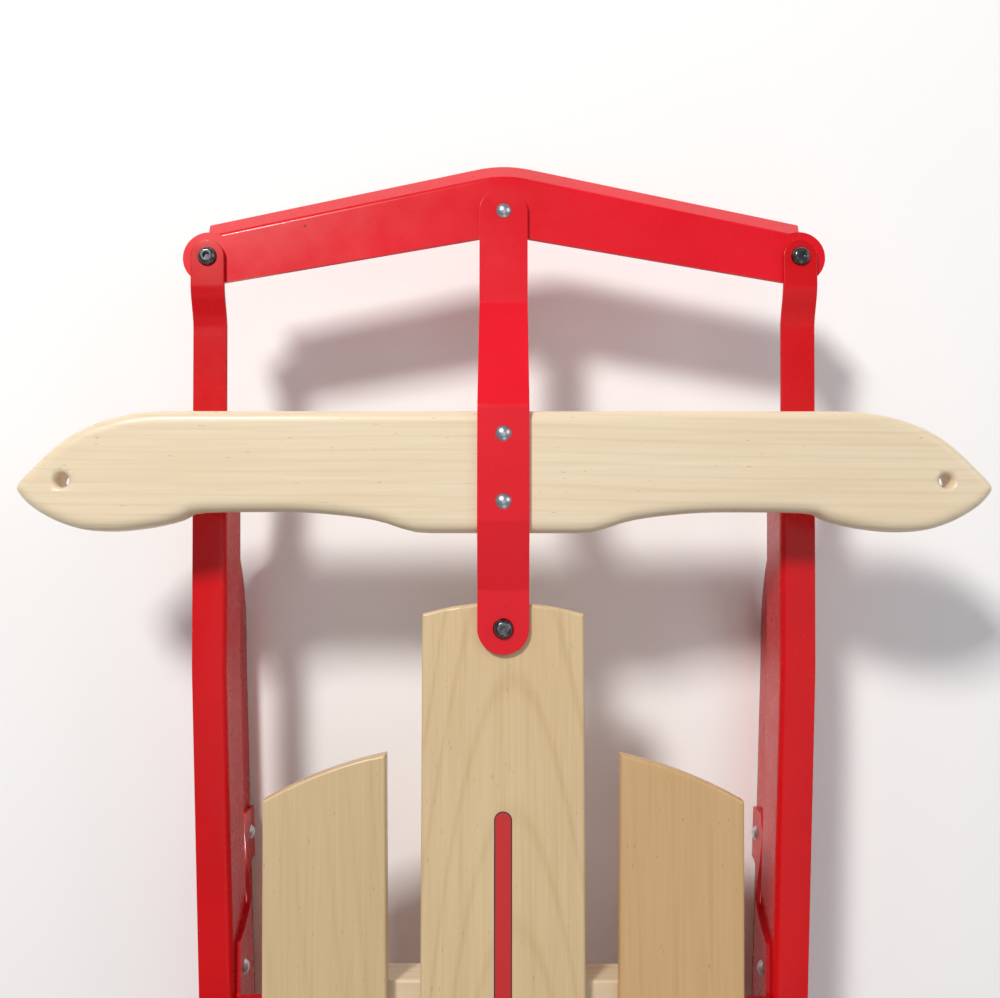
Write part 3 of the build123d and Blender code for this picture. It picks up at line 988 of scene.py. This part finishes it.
@dataclass
class SteeringBar:
    """The wooden bar: a flat board whose edges are rounded over all the way round."""

    node: str = "steering_bar"
    edge: float = 6.2 * MM
    rope_radius: float = 4.2 * MM
    rope_sink: float = 1.6 * MM
    rivet_radius: float = 2.5 * MM
    rivet_inset: float = 4.75 * MM
    tool_past: float = 3.0 * MM
    end_trim: float = 0.05 * MM
    smooth: float = math.radians(50)
    steps_across: int = 26
    steps_along: int = 52

    def outline(self, places: Sequence[float]) -> list[tuple[float, float]]:
        """Cuts the CAD board at each place along it.

        Args:
            places: values of X.

        Returns:
            The board's rear and front Y at each.
        """
        board = bmesh.new()
        board.from_mesh(frame["nodes"][self.node].data)
        spans = []
        for x in places:
            cut = bmesh.ops.bisect_plane(
                board,
                geom=board.verts[:] + board.edges[:] + board.faces[:],
                dist=1e-7,
                plane_co=(x, 0.0, 0.0),
                plane_no=(1.0, 0.0, 0.0),
            )
            depths = [g.co.y for g in cut["geom_cut"] if isinstance(g, bmesh.types.BMVert)]
            spans.append((min(depths), max(depths)))
        board.free()
        return spans

    def build(self, wood: bpy.types.Material) -> None:
        """Models the board and its holes.

        Args:
            wood: the board's finish.
        """
        low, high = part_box(self.node)
        reach = high.x - self.end_trim
        turns = [math.pi / 2 * i / self.steps_along for i in range(self.steps_along + 1)]
        quarter = [reach * math.sin(t) for t in turns]
        places = [-x for x in reversed(quarter[1:])] + quarter
        spans = self.outline(places)
        rim = [Vector((x, front)) for x, (_, front) in zip(places, spans)]
        rim += [Vector((x, rear)) for x, (rear, _) in reversed(list(zip(places, spans)))]
        rings = []
        angles = [math.pi * j / self.steps_across for j in range(self.steps_across + 1)]
        shares = [(1 - math.cos(a)) / 2 for a in angles]
        for x, (rear, front) in zip(places, spans):
            crossing = [front + (rear - front) * f for f in shares]
            drops = [self.drop(Vector((x, y)), rim) for y in crossing]
            upper = [Vector((x, y, high.z - d)) for y, d in zip(crossing, drops)]
            lower = [Vector((x, y, low.z + d)) for y, d in zip(crossing, drops)]
            rings.append(upper + list(reversed(lower)))
        obj = Workshop.skin("steering_board", rings)
        Workshop.carve(obj, self.tools(low, high))
        Workshop.only(obj)
        bpy.ops.object.shade_smooth_by_angle(angle=self.smooth)
        Workshop.hand_over(obj, Piece("birch_bar", (self.node,)), wood)
        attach(obj, "steering")

    def drop(self, point: Vector, rim: Sequence[Vector]) -> float:
        """How far the rounded edge lies below the board's flat at a point.

        Args:
            point: a place seen from above.
            rim: the board's outline.

        Returns:
            The drop in metres.
        """
        away = self.edge
        for i, corner in enumerate(rim):
            near, share = intersect_point_line(point, rim[i - 1], corner)
            near = rim[i - 1].lerp(corner, min(1.0, max(0.0, share)))
            away = min(away, (point - near).length)
        inward = self.edge - away
        return self.edge - math.sqrt(max(0.0, self.edge**2 - inward**2))

    def tools(self, low: Vector, high: Vector) -> list[bpy.types.Object]:
        """Makes the cutters of the two rope holes and the two rivet holes.

        Args:
            low: the board's lowest corner.
            high: its highest corner.

        Returns:
            The cutters.
        """
        r, sink, past = self.rope_radius, self.rope_sink, self.tool_past
        rope = [
            (r + sink + past, low.z - past),
            (r + sink, low.z),
            (r, low.z + sink),
            (r, high.z - sink),
            (r + sink, high.z),
            (r + sink + past, high.z + past),
        ]
        mounts = [m["pos_m"] for m in frame["record"]["mounts"] if m["name"].startswith("tow_rope")]
        made = [Workshop.turned("rope_cutter", Vector(place), rope) for place in mounts]
        rivet_low, rivet_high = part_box("bar_rivets")
        shank = [(self.rivet_radius, low.z - past), (self.rivet_radius, high.z + past)]
        for y in (rivet_low.y + self.rivet_inset, rivet_high.y - self.rivet_inset):
            made.append(Workshop.turned("rivet_cutter", Vector((0.0, y, 0.0)), shank))
        return made


# ---------------------------------------------------------------- steelwork and fasteners


@dataclass
class Softened:
    """CAD pieces of the right shape that only need their loose triangles merged and edges eased."""

    nodes: tuple[str, ...]
    slot: str
    edge: float

    def build(self, material: bpy.types.Material) -> None:
        """Copies, eases and paints each piece.

        Args:
            material: the finish of them all.
        """
        for node in self.nodes:
            body = frame["nodes"][node]["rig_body"]
            obj = Workshop.copy_of(f"{node}_eased", node)
            Workshop.soften(obj, self.edge)
            Workshop.hand_over(obj, Piece(self.slot, (node,)), material)
            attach(obj, body)


def nodes_named(*words: str) -> tuple[str, ...]:
    """CAD nodes whose names hold any of some words."""
    return tuple(sorted(n for n in frame["nodes"] if any(w in n for w in words)))


# ---------------------------------------------------------------- studio


@dataclass(frozen=True)
class Lamp:
    """A square soft light."""

    name: str
    place: Vector
    size: float
    power: float
    colour: Colour = (1.0, 1.0, 1.0)

    def build(self, target: Vector) -> None:
        """Hangs the light and aims it.

        Args:
            target: the place that it points at.
        """
        data = bpy.data.lights.new(self.name, "AREA")
        data.size = self.size
        data.energy = self.power
        data.color = self.colour
        obj = bpy.data.objects.new(self.name, data)
        obj.location = self.place
        obj.rotation_euler = (target - self.place).to_track_quat("-Z", "Y").to_euler()
        bpy.context.scene.collection.objects.link(obj)


@dataclass
class Studio:
    """Pale floor, soft lights and the camera above the sled's front."""

    floor_size: float = 9.0
    floor_tone: float = 0.93
    floor_drop: float = 0.4 * MM
    sky: float = 0.26
    sky_colour: Colour = (0.93, 0.96, 1.0)
    aim: Vector = field(default_factory=lambda: Vector((0.0, 0.25, 0.1)))
    lens: float = 36.5
    eye: Vector = field(default_factory=lambda: Vector((0.0005, 0.3603, 0.7185)))
    tilt: tuple[float, float, float] = (3.316, 0.234, 0.055)

    def floor(self) -> None:
        """Lays the floor."""
        bench = Bench("floor_paint")
        tone = bench.noise(3.0, 2.0)
        pale = (self.floor_tone,) * 3
        colour = bench.blend(tone.ramp(0.2, 0.8), pale, tuple(c * 0.985 for c in pale))
        material = bench.dress(Base_Color=colour, Roughness=0.85)
        for other in bpy.context.selected_objects:
            other.select_set(False)
        bpy.ops.mesh.primitive_plane_add(size=self.floor_size, location=(0.0, 0.0, -self.floor_drop))
        obj = bpy.context.object
        obj.name = "floor"
        Workshop.paint(obj, material)

    def lights(self) -> None:
        """Sets the sky and hangs the lamps."""
        world = bpy.data.worlds.new("soft_sky")
        world.use_nodes = True
        sky = world.node_tree.nodes["Background"]
        sky.inputs["Color"].default_value = (*self.sky_colour, 1.0)
        sky.inputs["Strength"].default_value = self.sky
        bpy.context.scene.world = world
        lamps = [
            Lamp("key", Vector((-0.90, 1.78, 2.06)), 0.42, 54.0, (1.0, 0.97, 0.93)),
            Lamp("overhead", Vector((0.25, 0.1, 2.6)), 2.0, 7.0, (0.95, 0.97, 1.0)),
            Lamp("fill", Vector((1.7, 1.0, 1.2)), 1.2, 7.0),
            Lamp("rear", Vector((0.6, -2.1, 1.4)), 1.4, 4.5),
        ]
        for lamp in lamps:
            lamp.build(self.aim)

    def camera(self) -> None:
        """Stands the camera."""
        data = bpy.data.cameras.new("camera")
        data.sensor_width = 36.0
        data.lens = self.lens
        data.clip_start = 0.02
        obj = bpy.data.objects.new("camera", data)
        obj.location = self.eye
        obj.rotation_euler = [math.radians(a) for a in self.tilt]
        bpy.context.scene.collection.objects.link(obj)
        bpy.context.scene.camera = obj

    def build(self) -> None:
        """Sets up the whole studio."""
        self.floor()
        self.lights()
        self.camera()
        bpy.context.scene.view_settings.view_transform = "Standard"


# ---------------------------------------------------------------- the sled


@dataclass
class Sled:
    """All of the sled's finishes and rebuilt pieces."""

    # The strap, bumper, rails and runners share one red paint. The rails' red is a darker copy of it,
    # painted shade, and the runners' red is darker still, painted shade too.
    enamel: Enamel = Enamel("red_enamel", (0.74, 0.006, 0.019), (0.67, 0.005, 0.014))
    rail_enamel: Enamel = Enamel("rail_enamel", (0.62, 0.003, 0.006), (0.55, 0.002, 0.005))
    runner_enamel: Enamel = Enamel("runner_enamel", (0.56, 0.004, 0.007), (0.50, 0.003, 0.006), 2.4 * MM)
    zinc: BareMetal = BareMetal("zinc", (0.66, 0.70, 0.75), (0.50, 0.54, 0.60), 0.30)
    black: BareMetal = BareMetal("black_oxide", (0.20, 0.20, 0.215), (0.08, 0.08, 0.085), 0.20)
    bar_wood: Birch = Birch(
        "birch_bar", (0.80, 0.675, 0.49), (0.68, 0.52, 0.325), Grain.ACROSS_SLED,
        heart=0.30, depth=-0.09, slant=0.05, seed=47.0, ring_strength=0.25,
    )
    stripe_start: float = 124.0 * MM
    plate_ease: float = 0.5 * MM
    screw_ease: float = 0.25 * MM
    nut_ease: float = 0.3 * MM

    def woods(self) -> dict[str, Birch]:
        """Picks each board's own cut of birch.

        Returns:
            The finishes by CAD node.
        """
        slat_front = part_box("center_slat")[1].y
        stripe = Stripe(front=slat_front - self.stripe_start)
        boards = {
            "center_slat": Birch(
                "birch_center", (0.68, 0.51, 0.295), (0.52, 0.345, 0.165),
                heart=0.012, slant=0.10, depth=-0.075, seed=3.0, ring_strength=0.27, stripe=stripe,
            ),
            "side_slat_left": Birch(
                "birch_left", (0.64, 0.475, 0.275), (0.51, 0.35, 0.175),
                heart=-0.19, seed=11.0, ring_strength=0.14,
            ),
            "side_slat_right": Birch(
                "birch_right", (0.60, 0.385, 0.18), (0.48, 0.28, 0.115),
                heart=0.24, slant=-0.03, seed=23.0, ring_strength=0.16,
            ),
        }
        for i, node in enumerate(nodes_named("bench")):
            boards[node] = Birch(
                f"birch_{node}", (0.72, 0.58, 0.40), (0.58, 0.43, 0.26), Grain.ACROSS_SLED,
                heart=0.1 - 0.15 * i, seed=31.0 + 7 * i, ring_strength=0.4,
            )
        return boards

    def build(self) -> None:
        """Builds and dresses the whole sled."""
        red = self.enamel.material()
        # The rails and the runners get darker copies of the strap's red: painted shade.
        rail_red_painted_shade = self.rail_enamel.material()
        runner_red_painted_shade = self.runner_enamel.material()
        zinc = self.zinc.material()
        black = self.black.material()
        for node, birch in self.woods().items():
            Workshop.paint(frame["nodes"][node], birch.material())
            LOG.info("%s: dressed", node)
        SteeringBar().build(self.bar_wood.material())
        for side in Side:
            SteelSide(side).build(rail_red_painted_shade, runner_red_painted_shade)
        Softened(("steering_strap", "bumper"), "red_enamel", self.plate_ease).build(red)
        knees = tuple(n for n in nodes_named("_knee_left", "_knee_right") if "rivets" not in n)
        # The knees take the runners' darker red, painted shade.
        Softened(knees, "red_runner", self.plate_ease).build(runner_red_painted_shade)
        Softened(nodes_named("rivet"), "zinc_rivet", 0.0).build(zinc)
        Softened(nodes_named("screw"), "black_screw", self.screw_ease).build(black)
        Softened(nodes_named("washer", "nut"), "zinc_nut", self.nut_ease).build(zinc)


def main() -> None:
    """Builds the sled and the studio."""
    logging.basicConfig(level=logging.INFO, format="%(name)s: %(message)s")
    Sled().build()
    Studio().build()


if __name__ == "__main__":
    main()
